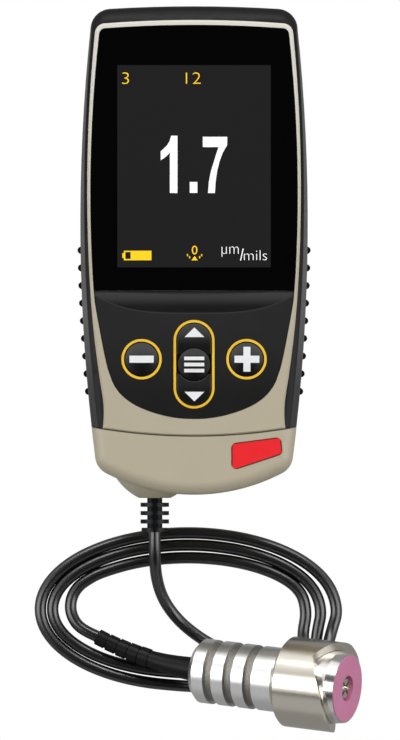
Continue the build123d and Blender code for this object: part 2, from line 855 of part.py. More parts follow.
def across(distance, turn=0.0):
    """Plane square to the probe's axis, at a distance from the tail."""
    angle = math.radians(turn)
    side = probe_plane.y_dir * math.cos(angle) + probe_plane.z_dir * math.sin(angle)
    return Plane(origin=probe_plane.origin + probe_axis * distance, x_dir=side, z_dir=probe_axis)


# Grooved barrel
with BuildPart() as probe_barrel:
    with BuildSketch(probe_plane) as barrel_profile:
        Rectangle(barrel_length, barrel_radius, align=(Align.MIN, Align.MIN))
        chamfer(barrel_profile.vertices().group_by(Axis.X)[0].sort_by(Axis.Y)[-1], barrel_chamfer)
        for index in range(groove_count):
            groove_x = first_ring_length + index * (ring_length + groove_length)
            with Locations((groove_x, barrel_radius)):
                Rectangle(groove_length, groove_depth, align=(Align.MIN, Align.MAX), mode=Mode.SUBTRACT)
        with Locations((barrel_length, barrel_radius)):
            Rectangle(neck_length, neck_depth, align=(Align.MAX, Align.MAX), mode=Mode.SUBTRACT)
        Rectangle(tail_wall, tail_bore, align=(Align.MIN, Align.MIN), mode=Mode.SUBTRACT)
        with Locations((tail_wall, 0)):
            Rectangle(barrel_length, barrel_bore, align=(Align.MIN, Align.MIN), mode=Mode.SUBTRACT)
    revolve(axis=turning_axis)
probe_barrel.part.label = "probe_barrel"
export_step(probe_barrel.part, "parts/probe_barrel.step")

# Head sleeve with the notch across its front
with BuildPart() as probe_head:
    with BuildSketch(probe_plane) as head_profile:
        with Locations((head_start, 0)):
            Rectangle(head_length, head_radius, align=(Align.MIN, Align.MIN))
        chamfer(head_profile.vertices().group_by(Axis.Y)[-1], head_edge)
        with Locations((head_start, 0)):
            Rectangle(head_length, barrel_bore, align=(Align.MIN, Align.MIN), mode=Mode.SUBTRACT)
        with Locations((head_start + head_rear_wall, 0)):
            Rectangle(head_length, head_bore, align=(Align.MIN, Align.MIN), mode=Mode.SUBTRACT)
    revolve(axis=turning_axis)
    notch_plane = Plane(
        origin=probe_plane.origin + probe_axis * head_end,
        x_dir=across(0, notch_turn + 90).x_dir, z_dir=across(0, notch_turn).x_dir,
    )
    notch_side = notch_depth if notch_plane.y_dir.dot(probe_axis) < 0 else -notch_depth
    with BuildSketch(notch_plane):
        with BuildLine():
            Polyline(
                (-head_radius, 0), (0, notch_side), (head_radius, 0), (head_radius, -notch_side),
                (-head_radius, -notch_side), close=True,
            )
        make_face()
    extrude(amount=2 * head_radius, both=True, mode=Mode.SUBTRACT)
probe_head.part.label = "probe_head"
export_step(probe_head.part, "parts/probe_head.step")

# Nose that carries the wear ring
with BuildPart() as probe_nose:
    with BuildSketch(probe_plane):
        with BuildLine():
            Polyline(
                (nose_start, holder_radius), (nose_start, nose_rear_radius),
                (nose_end - nose_taper, nose_rear_radius), (nose_end, nose_front_radius),
                (nose_end, wear_radius), (nose_end - wear_thickness, wear_radius),
                (nose_end - wear_thickness, holder_radius), close=True,
            )
        make_face()
    revolve(axis=turning_axis)
probe_nose.part.label = "probe_nose"
export_step(probe_nose.part, "parts/probe_nose.step")

# Pink ceramic wear ring
with BuildPart() as wear_ring:
    with BuildSketch(across(nose_end - wear_thickness)):
        Circle(wear_radius)
        Circle(wear_hole_radius, mode=Mode.SUBTRACT)
    extrude(amount=wear_thickness + wear_proud)
wear_ring.part.label = "wear_ring"
export_step(wear_ring.part, "parts/wear_ring.step")

# Slotted holder that guides the tip
holder_front = nose_end - holder_drop
with BuildPart() as tip_holder:
    with BuildSketch(across(holder_front)):
        Circle(holder_radius)
    extrude(amount=-holder_length)
    chamfer(tip_holder.faces().sort_by(Axis(probe_plane.origin, probe_axis))[-1].edges(), holder_edge)
    with BuildSketch(across(holder_front, notch_turn)):
        Rectangle(2 * holder_radius, holder_slot_width)
        Rectangle(holder_slot_width, 2 * holder_radius)
    extrude(amount=-holder_slot_depth, mode=Mode.SUBTRACT)
    with BuildSketch(across(holder_front)):
        Circle(tip_radius + tip_bore_gap)
    extrude(amount=-holder_length, mode=Mode.SUBTRACT)
tip_holder.part.label = "tip_holder"
export_step(tip_holder.part, "parts/tip_holder.step")

# Measuring tip: a pin with a 60 degree point
cone_length = tip_radius / math.tan(math.radians(tip_cone_angle / 2))
tip_end = nose_end + wear_proud + tip_proud
with BuildPart() as probe_tip:
    with BuildSketch(probe_plane):
        with BuildLine():
            Polyline(
                (tip_end - tip_length, 0), (tip_end - tip_length, tip_radius),
                (tip_end - cone_length, tip_radius), (tip_end, 0), close=True,
            )
        make_face()
    revolve(axis=turning_axis)
probe_tip.part.label = "probe_tip"
export_step(probe_tip.part, "parts/probe_tip.step")

# Sensor cartridge inside the barrel
with BuildPart() as probe_core:
    with BuildSketch(across(tail_wall + seat_clearance)):
        Circle(barrel_bore - core_gap)
    extrude(amount=nose_start - tail_wall - 2 * seat_clearance)
probe_core.part.label = "probe_core"
export_step(probe_core.part, "parts/probe_core.step")

# Path of the boot: an arc that leaves the tail along the axis and bends to the left and up
bend_side = probe_plane.y_dir * math.cos(math.radians(boot_bend_lift))
bend_side = bend_side + probe_plane.z_dir * math.sin(math.radians(boot_bend_lift))
bend_radius = boot_length / math.radians(boot_bend)


def boot_place(share):
    """Plane square to the boot's path, at a share of its length."""
    angle = math.radians(boot_bend) * share
    along = probe_axis * -math.cos(angle) + bend_side * math.sin(angle)
    place = probe_axis * (-bend_radius * math.sin(angle)) + bend_side * (bend_radius * (1 - math.cos(angle)))
    return Plane(origin=probe_plane.origin + place, x_dir=probe_axis.cross(bend_side), z_dir=along)


def boot_radius(share):
    """Radius of the boot's core: a smooth sleeve, then a taper to the cable."""
    if share < boot_sleeve_share:
        return boot_root_radius + (boot_mid_radius - boot_root_radius) * share / boot_sleeve_share
    rest = (share - boot_sleeve_share) / (1 - boot_sleeve_share)
    return boot_mid_radius + (boot_end_radius - boot_mid_radius) * rest


# Boot: lofted core with ribs towards the cable
with BuildPart() as probe_boot:
    for share in (0, boot_sleeve_share / 2, boot_sleeve_share, (1 + boot_sleeve_share) / 2, 1):
        with BuildSketch(boot_place(share)):
            Circle(boot_radius(share))
    loft()
    with BuildSketch(boot_place(0)):
        Circle(boot_root_radius)
    extrude(amount=-boot_root)
    for index in range(boot_rib_count):
        share = boot_sleeve_share + (1 - boot_sleeve_share) * (index + 0.5) / boot_rib_count
        with BuildSketch(boot_place(share)):
            Circle(boot_radius(share) + boot_rib_rise)
        extrude(amount=boot_rib_length / 2, both=True)
probe_boot.part.label = "probe_boot"
export_step(probe_boot.part, "parts/probe_boot.step")


def corner_radii(points):
    """As large an arc at each corner as its two runs allow."""
    radii = []
    for before, here, after in zip(points, points[1:], points[2:]):
        first = Vector(here) - Vector(before)
        second = Vector(after) - Vector(here)
        half_turn = math.radians(first.get_angle(second)) / 2
        radii.append(0.45 * min(first.length, second.length) / math.tan(half_turn))
    return radii


def cable_tube(name, points):
    """Cable along straight runs joined by tangent arcs."""
    radii = corner_radii(points)
    with BuildPart() as tube:
        with BuildLine():
            path = FilletPolyline(*points, radius=radii)
        with BuildSketch(Plane(origin=path @ 0, z_dir=path % 0)):
            Circle(cable_diameter / 2)
        sweep()
    expected = math.pi * cable_diameter**2 / 4 * path.length
    print(name, "radii", [round(radius, 1) for radius in radii], "length", round(path.length, 1))
    print(name, "volume share", round(tube.part.volume / expected, 4))
    tube.part.label = name
    export_step(tube.part, f"parts/{name}.step")


# Cable from the strain relief over the coil, and down to where it joins the turns
relief_end = (gland_x, relief_end_y, plug_z)
cable_tube("cable_lead", [
    relief_end,
    (gland_x, -81.4, plug_z),
    (-10.3, -87.4, 8.2),
    (-8.6, -93.3, 4.4),
    (-4.9, -98.7, 1.9),
    (0.1, -103.1, cable_rest_z),
    (6.0, -106.7, cable_rest_z),
    (12.2, -109.4, cable_rest_z),
])

# Cable from the coil's inner turn to the boot
boot_end = boot_place(1).origin
boot_way = boot_place(1).z_dir
cable_tube("cable_tail", [
    tuple(boot_end),
    tuple(boot_end + boot_way * boot_exit),
    (-34.4, -96.2, cable_rest_z),
    (-35.1, -90.6, cable_rest_z),
])

# Where the head's rear edge comes lowest, over the crossing of the turns
rim_low = probe_plane.origin + probe_axis * (head_start + head_edge) - probe_up * head_radius
crossing_place = (rim_low.X + crossing_shift[0], rim_low.Y + crossing_shift[1])
crossing_top = rim_low.Z - crossing_gap

# Coil: the outer shape of its turns, with the crossing that the probe's head lies on
with BuildPart() as cable_coil:
    with BuildSketch():
        with Locations(coil_outer_centre):
            Ellipse(*coil_outer)
        with Locations(coil_inner_centre):
            Ellipse(*coil_inner, mode=Mode.SUBTRACT)
    extrude(amount=coil_height)
    with BuildSketch(Plane.XY.offset(coil_height / 2)):
        with Locations(crossing_place):
            Ellipse(*crossing_foot, rotation=crossing_turn)
    with BuildSketch(Plane.XY.offset(crossing_top)):
        with Locations(crossing_place):
            Ellipse(*crossing_crest, rotation=crossing_turn)
    loft()
cable_coil.part.label = "cable_coil"
export_step(cable_coil.part, "parts/cable_coil.step")
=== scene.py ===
import math

import bmesh
import bpy
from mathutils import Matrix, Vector
from mathutils.bvhtree import BVHTree


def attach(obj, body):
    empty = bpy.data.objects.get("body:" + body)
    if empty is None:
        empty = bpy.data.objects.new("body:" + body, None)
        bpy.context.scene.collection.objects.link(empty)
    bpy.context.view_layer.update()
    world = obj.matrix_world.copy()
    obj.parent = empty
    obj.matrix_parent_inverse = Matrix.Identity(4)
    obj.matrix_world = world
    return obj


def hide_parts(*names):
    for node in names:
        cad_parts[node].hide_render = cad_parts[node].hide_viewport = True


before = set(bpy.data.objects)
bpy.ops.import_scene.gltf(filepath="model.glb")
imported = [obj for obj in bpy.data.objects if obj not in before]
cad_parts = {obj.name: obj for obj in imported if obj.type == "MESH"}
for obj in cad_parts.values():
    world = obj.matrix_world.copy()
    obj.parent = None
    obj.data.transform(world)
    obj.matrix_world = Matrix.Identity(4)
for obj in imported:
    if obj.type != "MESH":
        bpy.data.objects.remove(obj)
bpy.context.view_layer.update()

bl_info = {
    "name": "Surface profile gauge",
    "version": (1, 0, 0),
    "blender": (4, 5, 0),
    "location": "3D View > Sidebar > Gauge",
    "description": "Builds the looks of a surface profile gauge with its corded probe",
    "category": "Object",
}

MM = 0.001

# Cable route in millimetres: out of the gland, over the ring of turns and down inside it
LEAD = [
    (-10.6, -75.35, 11.5), (-10.6, -81.4, 11.5), (-10.3, -87.4, 8.2), (-8.6, -93.3, 4.4),
    (-4.9, -98.7, 1.9), (0.1, -103.1, 1.65), (6.0, -106.7, 1.65), (12.2, -109.4, 1.7),
]
# Up and over the two turns that lie under the probe's head, then down beside them
CLIMB = [
    (17.6, -111.6, 3.6), (21.3, -113.3, 6.7), (24.9, -114.8, 8.9), (28.7, -115.2, 9.3),
    (32.3, -113.7, 9.0), (34.8, -110.8, 7.5), (35.9, -107.0, 5.0), (37.2, -102.1, 2.2),
]
# The first turn passes under the probe on the table
UNDER_FIRST = [
    (8.0, -117.3, 1.65), (16.5, -117.7, 1.65), (23.6, -117.3, 1.65), (28.4, -115.6, 1.65),
    (31.4, -112.2, 1.65), (32.7, -107.8, 1.65), (33.3, -102.4, 1.65),
]
# The second turn passes under the probe on top of the first
UNDER_SECOND = [
    (8.0, -113.6, 1.65), (14.0, -114.2, 2.8), (18.2, -115.5, 4.35), (21.9, -116.4, 5.4),
    (25.4, -115.8, 5.5), (28.4, -113.4, 5.4), (30.0, -109.8, 4.6), (29.7, -106.4, 3.1),
    (29.4, -102.6, 1.7), (30.5, -97.0, 1.65),
]
# From the last turn into the boot of the probe
TAIL = [
    (-29.0, -88.4, 1.65), (-31.5, -90.3, 1.65), (-33.2, -93.2, 1.7), (-33.5, -96.8, 1.85),
    (-32.0, -100.2, 2.3), (-29.3, -102.3, 2.8), (-26.3, -103.6, 3.0),
]
# Reach of each turn to the right, top, left and bottom, outer turn first, and the angles that it spans
TURNS = [(39.9, 20.6, 39.9, 20.6), (35.6, 17.3, 36.6, 17.1), (32.3, 13.9, 32.6, 13.9)]
TURN_CENTRE = (-1.65, -96.3)
TURN_SPANS = [(0.0, 270.0), (0.0, 270.0), (22.5, 135.0)]
TURN_STEP = 22.5
TURN_GROWTH = 1.0195
CABLE_Z = 1.65
# How finely the cable is rounded, and its steps between two control points
CABLE_ROUND = 6
CABLE_STEPS = 10

# Print: how far small letters are thinned, as a share of their size, and its longest edges in millimetres
THIN = -0.018
KEY_FINEST = 0.9
WINDOW_FINEST = 4.0
MOST_SPLITS = 5
# Where the rays that look for a surface start, in metres over the table
ABOVE_ALL = 0.1

# Outline of the gauge that its finishes follow, in millimetres
BODY_HALF_WIDTH = 30.6
WIDEST_Y = 8.0
SIDE_RADIUS = 500.0
SEAM_Y = -49.4
SEAM_RISE = 3.3
SEAM_HALF_WIDTH = 32.0
LENS_EDGE_Y = -10.4
SCOOP_LENGTH = 5.86
SCOOP_HALF_WIDTH = 28.2
SCOOP_POWER = 3.39
BADGE_CORNERS = [(10.1, -51.4), (23.3, -49.7), (23.7, -54.2), (10.1, -58.7)]
# Rubber cover: where its front, display end and paler flank begin, and the leaning edge of the dark strip,
# which is partly painted groove shadow
FRONT_Z = (18.0, 22.0)
DISPLAY_END_Y = (57.0, 62.0)
FLANK_Y = (-42.0, -14.0)
STRIP_INWARD = 1.14
STRIP_LEAN = 0.0125

# Display picture behind the window: its middle, where it ends to the side and lengthwise, and its cells
SCREEN_MIDDLE_Y = 23.1
SCREEN_END_X = (20.5, 20.7)
SCREEN_END_Y = (27.05, 27.25)
SCREEN_CELLS = 21.0

# Middles of the marks on the keys
KEY_ROW_Y = -28.75
MENU_Y = -30.17
MENU_ROWS = (-1.64, 0, 1.64)
MINUS_X = -14.1
PLUS_X = 14.2
# Each key's middle, from where to where on either side of it the key's painted highlight grows, and how pale
# it makes the key
KEY_LIGHT = {
    "key_minus": (KEY_ROW_Y, -1.75, 3.25, 1.0),
    "key_plus": (KEY_ROW_Y, -1.75, 3.25, 1.0),
    "key_up": (-22.0, -3.5, 2.0, 0.8),
    "key_menu": (MENU_Y, 0.6, 3.2, 0.8),
    "key_down": (-38.6, 0.0, 4.0, 0.2),
}

# Battery cells: their middle, and how far from it the pale band and the metal ends begin
CELL_MIDDLE = (0, 33.15, 0)
CELL_BAND = (13.0, 13.2)
CELL_METAL = (21.6, 21.8)

# Pieces that take the place of front pieces, to follow the photo at the lower corners of the keypad plate
ROUNDED = {"front_housing": "front_chassis", "keypad_fascia": "keypad_plate"}
# Edge of the plate seen from its middle: degrees below level, reach in the CAD, reach in the photo
FACE_MIDDLE_Y = -22.0
FACE_EDGE = [
    (-18.1, 28.11, 28.11), (-11.0, 26.79, 26.60), (-3.3, 25.84, 25.50), (4.8, 25.29, 24.88),
    (13.0, 25.17, 24.73), (21.3, 25.50, 25.00), (29.2, 26.24, 25.38), (31.3, 26.39, 25.46),
    (32.4, 26.39, 25.50), (34.5, 26.24, 25.55), (38.4, 25.77, 25.56), (42.3, 25.34, 25.41),
    (46.3, 24.93, 25.15), (50.4, 24.54, 24.83), (54.6, 24.19, 24.46), (58.8, 23.88, 24.10),
    (63.1, 23.60, 23.78), (67.5, 23.36, 23.51), (71.9, 23.16, 23.29), (76.4, 23.00, 23.12),
    (80.9, 22.89, 22.98), (85.5, 22.82, 22.89), (90.0, 22.80, 22.85),
]
# Near the edge all moves the whole way, then less and less, and nothing below the plate's seat moves
FACE_HOLD = 0.3
FACE_FADE_OUT = 0.6
FACE_FADE_IN = 2.7
FACE_LOWEST_Z = 25.4
# Their mesh: which edges are cut and how often, which corners are one, and what is level or sharp
FACE_LONG_EDGE = 1.5
FACE_CUTS = 3
MERGE = 0.001
LEVEL = 0.9999
SHARP_DEGREES = 30.0

# Probe: its tail centre in millimetres and the three ways of its own frame
PROBE_TAIL = (1.5, -112.6, 10.55)
PROBE_AXIS = (0.9003, -0.10417, 0.42262)
PROBE_SIDE = (0.11494, 0.99337, 0.0)
PROBE_UP = (-0.41982, 0.04857, 0.90631)
# Barrel: where its grooves start along the probe, their width, and the two ways of the knurl in them
GROOVE_STARTS = (4.9, 10.85, 16.8)
GROOVE_WIDTH = 2.45
KNURL_ROUND = 70.0
KNURL_ALONG = 7.0

# Plastics and rubbers: two colours, roughness and its spread, period and depth of the grain, shine
MOULDED = {
    "ring_yellow": ((250, 198, 48), (252, 206, 62), 0.35, 0.06, 0.25, 0.003, 0.5),
    "inner_black": ((26, 26, 28), (34, 34, 36), 0.4, 0.08, 0.3, 0.01, 0.5),
    "boot_rubber": ((7, 7, 8), (12, 12, 13), 0.45, 0.1, 0.4, 0.02, 0.22),
    "relief_rubber": ((7, 9, 11), (12, 14, 17), 0.36, 0.08, 0.4, 0.01, 0.2),
    "door_plastic": ((40, 41, 44), (48, 49, 52), 0.5, 0.1, 0.25, 0.03, 0.5),
    "keypad_rubber": ((150, 152, 154), (170, 172, 174), 0.5, 0.08, 0.5, 0.01, 0.5),
    "wear_pink": ((212, 126, 168), (220, 138, 178), 0.36, 0.08, 0.3, 0.004, 0.5),
}
# Turned metals: two colours, roughness, a point and the way of the axis, pitch and depth of the lines
TURNED = {
    "steel_turned": ((214, 208, 196), (232, 226, 214), 0.2, PROBE_TAIL, PROBE_AXIS, 0.22, 0.004),
    "steel_bright": ((226, 224, 220), (242, 240, 236), 0.18, PROBE_TAIL, PROBE_AXIS, 0.4, 0.006),
    "tip_steel": ((214, 208, 190), (236, 230, 214), 0.25, PROBE_TAIL, PROBE_AXIS, 0.3, 0.004),
    "screw_steel": ((150, 150, 148), (184, 184, 182), 0.3, (0, 0, 0), (0, 0, 1), 0.3, 0.004),
    "contact_tin": ((190, 188, 180), (212, 210, 204), 0.34, (0, 0, 0), (1, 0, 0), 0.5, 0.004),
}
# The material of every CAD node apart from the cable's
NODE_FINISH = {
    "rear_housing": "shell_rubber", "front_housing": "pale_plastic", "display_lens": "lens_gloss",
    "display_module": "inner_black", "keypad_fascia": "fascia_black", "ring_minus": "ring_yellow",
    "ring_plus": "ring_yellow", "ring_pill": "ring_yellow", "key_minus": "key_minus", "key_plus": "key_plus",
    "key_up": "key_up", "key_menu": "key_menu", "key_down": "key_down", "keypad_sheet": "keypad_rubber",
    "key_switches": "inner_black", "circuit_board": "board_green", "board_screws": "screw_steel",
    "case_screws": "screw_steel", "sounder": "inner_black", "battery_cell_1": "cell_wrap",
    "battery_cell_2": "cell_wrap", "battery_cell_3": "cell_wrap", "contact_plate_top": "contact_tin",
    "contact_plate_foot": "contact_tin", "battery_door": "door_plastic", "body_socket": "inner_black",
    "connector_cap": "pale_plastic", "badge_plate": "badge_red", "connector_plug": "inner_black",
    "strain_relief": "relief_rubber", "probe_boot": "boot_rubber", "probe_barrel": "barrel_metal",
    "probe_head": "steel_turned", "probe_nose": "steel_bright", "wear_ring": "wear_pink",
    "tip_holder": "tip_steel", "probe_tip": "tip_steel", "probe_core": "inner_black",
}

# Stage, in metres: what the camera looks down at, the floor, and the lamps with the name of their power
VIEW_MIDDLE = (0.0016, -0.03165)
VIEW_LENGTH = 0.1988
FACE_HEIGHT = 0.0274
FLOOR_REACH = 30.0
FLOOR_CORNERS = ((-1, -1), (1, -1), (1, 1), (-1, 1))
FLOOR_Z = -0.0001
FLOOR_GREY = (0.8, 0.8, 0.8, 1.0)
WHITE = (1.0, 1.0, 1.0, 1.0)
LAMPS = (
    ("left_light", (-0.75, -0.05, 0.75), (0.5, 0.9), "side_light"),
    ("right_light", (0.75, -0.05, 0.75), (0.5, 0.9), "side_light"),
    ("top_light", (0.0, 0.95, 0.72), (1.4, 0.3), "top_light"),
)
LAMP_AIM = (0.0, -0.03, 0.0)
# Ends of the pale walls that gloss reflects, as parts of the direction looked in
FAR_PANEL_Y = (-0.33, -0.3)
NEAR_PANEL_Y = (-0.45, -0.42)
PANEL_TOP_Z = (0.5, 0.72)


def linear(red, green, blue):
    """Linear colour from its value on a screen, 0 to 255."""
    parts = []
    for part in (red, green, blue):
        share = part / 255.0
        parts.append(share / 12.92 if share <= 0.04045 else ((share + 0.055) / 1.055) ** 2.4)
    return (*parts, 1.0)


def grey(value):
    """Linear grey from its value on a screen."""
    return linear(value, value, value)


class Value:
    """A number, vector or colour in a material that takes part in sums."""

    def __init__(self, finish, socket):
        self.finish = finish
        self.socket = socket

    def maths(self, operation, *values):
        inputs = dict(enumerate(values))
        return self.finish.node("ShaderNodeMath", {"operation": operation}, inputs)

    def __add__(self, other):
        return self.maths("ADD", self, other)

    def __radd__(self, other):
        return self.maths("ADD", other, self)

    def __sub__(self, other):
        return self.maths("SUBTRACT", self, other)

    def __rsub__(self, other):
        return self.maths("SUBTRACT", other, self)

    def __mul__(self, other):
        return self.maths("MULTIPLY", self, other)

    def __rmul__(self, other):
        return self.maths("MULTIPLY", other, self)

    def __truediv__(self, other):
        return self.maths("DIVIDE", self, other)

    def __rtruediv__(self, other):
        return self.maths("DIVIDE", other, self)

    def power(self, other):
        return self.maths("POWER", self, other)

    def least(self, other):
        return self.maths("MINIMUM", self, other)

    def size(self):
        return self.maths("ABSOLUTE", self)

    def sine(self):
        return self.maths("SINE", self)

    def rise(self, low, high):
        """0 below low and 1 above high, with a smooth change between them."""
        settings = {"interpolation_type": "SMOOTHSTEP"}
        inputs = {"Value": self, "From Min": low, "From Max": high}
        return self.finish.node("ShaderNodeMapRange", settings, inputs)

    def between(self, low, high, soft):
        """1 between two values and 0 outside them."""
        return self.rise(low - soft, low + soft) * (1.0 - self.rise(high - soft, high + soft))


class Finish:
    """A procedural material, or the light of the room, and the nodes that make it."""

    def __init__(self, name, room=None):
        self.material = room or bpy.data.materials.new(name)
        self.material.use_nodes = True
        self.tree = self.material.node_tree
        self.tree.nodes.clear()

    def node(self, kind, settings=None, inputs=None, output=0):
        """A node of any kind: its settings first, then its inputs."""
        made = self.tree.nodes.new(kind)
        for name, value in (settings or {}).items():
            setattr(made, name, value)
        for name, value in (inputs or {}).items():
            if isinstance(value, Value):
                self.tree.links.new(value.socket, made.inputs[name])
            else:
                made.inputs[name].default_value = value
        return Value(self, made.outputs[output])

    def place(self):
        """The place on the object, in metres."""
        return self.node("ShaderNodeTexCoord", output="Object")

    def along(self, way, start=(0, 0, 0)):
        """Millimetres from a point along a direction."""
        from_start = self.node(
            "ShaderNodeVectorMath", {"operation": "SUBTRACT"},
            {0: self.place(), 1: tuple(part * MM for part in start)},
        )
        product = {"operation": "DOT_PRODUCT"}
        return self.node("ShaderNodeVectorMath", product, {0: from_start, 1: way}, "Value") / MM

    def noise(self, period, detail=2.0, stretch=(1, 1, 1)):
        """Noise from 0 to 1 with a period in millimetres."""
        vector = self.node(
            "ShaderNodeVectorMath", {"operation": "MULTIPLY"},
            {0: self.place(), 1: tuple(1.0 / part for part in stretch)},
        )
        inputs = {"Vector": vector, "Scale": 1.0 / (period * MM), "Detail": detail}
        return self.node("ShaderNodeTexNoise", inputs=inputs)

    def streaks(self, along, pace):
        """Uneven bands across a direction, from its millimetres."""
        inputs = {"W": along * pace, "Detail": 4.0, "Roughness": 0.7}
        return self.node("ShaderNodeTexNoise", {"noise_dimensions": "1D"}, inputs)

    def mix(self, share, first, second):
        """A colour between two colours."""
        settings = {"data_type": "RGBA"}
        inputs = {0: share, 6: first, 7: second}
        return self.node("ShaderNodeMix", settings, inputs, 2)

    def bump(self, height, depth):
        """A bump of a height from 0 to 1 and a depth in millimetres."""
        return self.node("ShaderNodeBump", inputs={"Height": height, "Distance": depth * MM})

    def done(self, **inputs):
        """Ends the material in one surface."""
        named = {name.replace("_", " "): value for name, value in inputs.items()}
        surface = self.node("ShaderNodeBsdfPrincipled", inputs=named)
        self.node_out(surface)
        return self.material

    def node_out(self, surface, kind="ShaderNodeOutputMaterial"):
        """Joins a surface to the material's output."""
        out = self.tree.nodes.new(kind)
        self.tree.links.new(surface.socket, out.inputs["Surface"])


def moulded(name, colour, other, roughness, spread, period, depth, shine):
    """Moulded plastic or rubber: a fine grain, faint clouds of colour and a varying gloss."""
    finish = Finish(name)
    clouds = finish.noise(9.0, 3.0)
    grain = finish.noise(period, 3.0)
    tint = finish.mix(clouds.rise(0.3, 0.7) * 0.7 + grain * 0.3, linear(*colour), linear(*other))
    gloss = roughness - spread / 2 + clouds * spread + (grain - 0.5) * spread
    return finish.done(
        Base_Color=tint, Roughness=gloss, Normal=finish.bump(grain, depth), Specular_IOR_Level=shine,
    )


def cable_finish():
    """Black jacket with a clear sheen, faint clouds and a fine grain."""
    finish = Finish("cable_black")
    clouds = finish.noise(9.0, 3.0)
    grain = finish.noise(0.6, 3.0)
    tint = finish.mix(clouds.rise(0.3, 0.7), grey(2), grey(6))
    gloss = clouds * 0.08 + grain * 0.04 + 0.24
    return finish.done(
        Base_Color=tint, Roughness=gloss, Normal=finish.bump(grain, 0.004), Specular_IOR_Level=0.8,
        Coat_Weight=0.5, Coat_Roughness=0.3,
    )


def turned(name, colour, other, roughness, start, way, pitch, depth):
    """Turned metal: fine lines round an axis, with a broken brushed pattern."""
    finish = Finish(name)
    along = finish.along(way, start)
    wander = finish.noise(3.0, 3.0)
    lines = (along * (2 * math.pi / pitch) + wander * 6.0).sine() * 0.5 + 0.5
    bands = finish.streaks(along, 4.0)
    tint = finish.mix(bands.rise(0.3, 0.7) * 0.6 + wander * 0.4, linear(*colour), linear(*other))
    gloss = roughness - 0.05 + bands * 0.1 + wander * 0.04
    normal = finish.bump(lines * 0.5 + bands * 0.5, depth)
    return finish.done(Base_Color=tint, Roughness=gloss, Normal=normal, Metallic=1.0)


def lens_finish():
    """Glossy black window with a slightly paler picture area and faint dust."""
    finish = Finish("lens_gloss")
    x, y = finish.along((1, 0, 0)), finish.along((0, 1, 0))
    out_x = x.size().rise(*SCREEN_END_X)
    out_y = (y - SCREEN_MIDDLE_Y).size().rise(*SCREEN_END_Y)
    cells = (x * SCREEN_CELLS).sine() * (y * SCREEN_CELLS).sine()
    haze = finish.noise(14.0, 4.0)
    picture = finish.mix(cells * 0.06 + 0.5, linear(33, 33, 34), grey(39))
    tint = finish.mix((1.0 - out_x) * (1.0 - out_y), linear(4, 4, 5), picture)
    return finish.done(
        Base_Color=tint, Roughness=haze * 0.05 + 0.04, Specular_IOR_Level=0.35,
        Normal=finish.bump(haze, 0.004),
    )


def barrel_finish():
    """Turned aluminium rings between fine knurled grooves."""
    finish = Finish("barrel_metal")
    along = finish.along(PROBE_AXIS, PROBE_TAIL)
    across = finish.along(PROBE_SIDE, PROBE_TAIL)
    upward = finish.along(PROBE_UP, PROBE_TAIL)
    grooves = 0.0
    for start in GROOVE_STARTS:
        grooves = grooves + along.between(start, start + GROOVE_WIDTH, 0.05)
    turn = finish.node("ShaderNodeMath", {"operation": "ARCTAN2"}, {0: across, 1: upward})
    round_it, along_it = turn * KNURL_ROUND, along * KNURL_ALONG
    knurl = (round_it + along_it).sine() * (round_it - along_it).sine() * 0.5 + 0.5
    bands = finish.streaks(along, 5.0)
    wander = finish.noise(2.5, 3.0)
    bright = finish.mix(bands * 0.6 + wander * 0.4, linear(240, 240, 239), grey(250))
    dull = finish.mix(knurl, linear(112, 109, 102), linear(176, 172, 165))
    tint = finish.mix(grooves, bright, dull)
    height = bands * 0.15 * (1.0 - grooves) + knurl * grooves
    gloss = 0.28 + bands * 0.08 + grooves * 0.2
    return finish.done(Base_Color=tint, Roughness=gloss, Normal=finish.bump(height, 0.05), Metallic=1.0)


def board_finish():
    """Circuit board: green lacquer over faint tracks, with tinned pads."""
    finish = Finish("board_green")
    cells = finish.node(
        "ShaderNodeTexVoronoi", {"distance": "CHEBYCHEV", "feature": "F1"},
        {"Vector": finish.place(), "Scale": 320.0, "Randomness": 0.6},
    )
    tracks = (finish.along((1, 1, 0)) * 3.2 + finish.noise(8.0) * 4.0).sine().rise(0.4, 0.6)
    pads = 1.0 - cells.rise(0.22, 0.26)
    green = finish.mix(tracks, linear(18, 74, 42), linear(30, 96, 54))
    tint = finish.mix(pads, green, linear(188, 186, 178))
    height = tracks * 0.5 + pads
    return finish.done(
        Base_Color=tint, Roughness=0.32 + pads * 0.1, Metallic=pads * 0.9, Normal=finish.bump(height, 0.03),
    )


def cell_finish():
    """Battery sleeve: dark wrap with a paler end band, a fine shrink grain and bare metal ends."""
    finish = Finish("cell_wrap")
    along = finish.along((0, 1, 0), CELL_MIDDLE)
    crinkle = finish.noise(1.2, 4.0, (1, 5, 1))
    metal = along.size().rise(*CELL_METAL)
    wrap = finish.mix(along.rise(*CELL_BAND), linear(24, 26, 30), linear(178, 122, 52))
    wrap = finish.mix(crinkle * 0.25, wrap, grey(120))
    tint = finish.mix(metal, wrap, linear(196, 196, 194))
    return finish.done(
        Base_Color=tint, Roughness=0.3 + crinkle * 0.12, Metallic=metal, Normal=finish.bump(crinkle, 0.02),
    )


def badge_finish():
    """Glossy red enamel with a slight orange-peel surface and a darker edge."""
    finish = Finish("badge_red")
    peel = finish.noise(0.9, 2.0)
    clouds = finish.noise(6.0, 2.0)
    inward = None
    for here, after in zip(BADGE_CORNERS, BADGE_CORNERS[1:] + BADGE_CORNERS[:1]):
        run = Vector(after) - Vector(here)
        side = finish.along((run.y / run.length, -run.x / run.length, 0), (*here, 0))
        inward = side if inward is None else inward.least(side)
    tint = finish.mix(clouds, linear(246, 34, 42), linear(252, 42, 48))
    tint = finish.mix(inward.rise(0.12, 0.34), linear(96, 30, 30), tint)
    return finish.done(
        Base_Color=tint, Roughness=0.3 + clouds * 0.06, Normal=finish.bump(peel, 0.004), Coat_Weight=0.3,
        Coat_Roughness=0.1,
    )


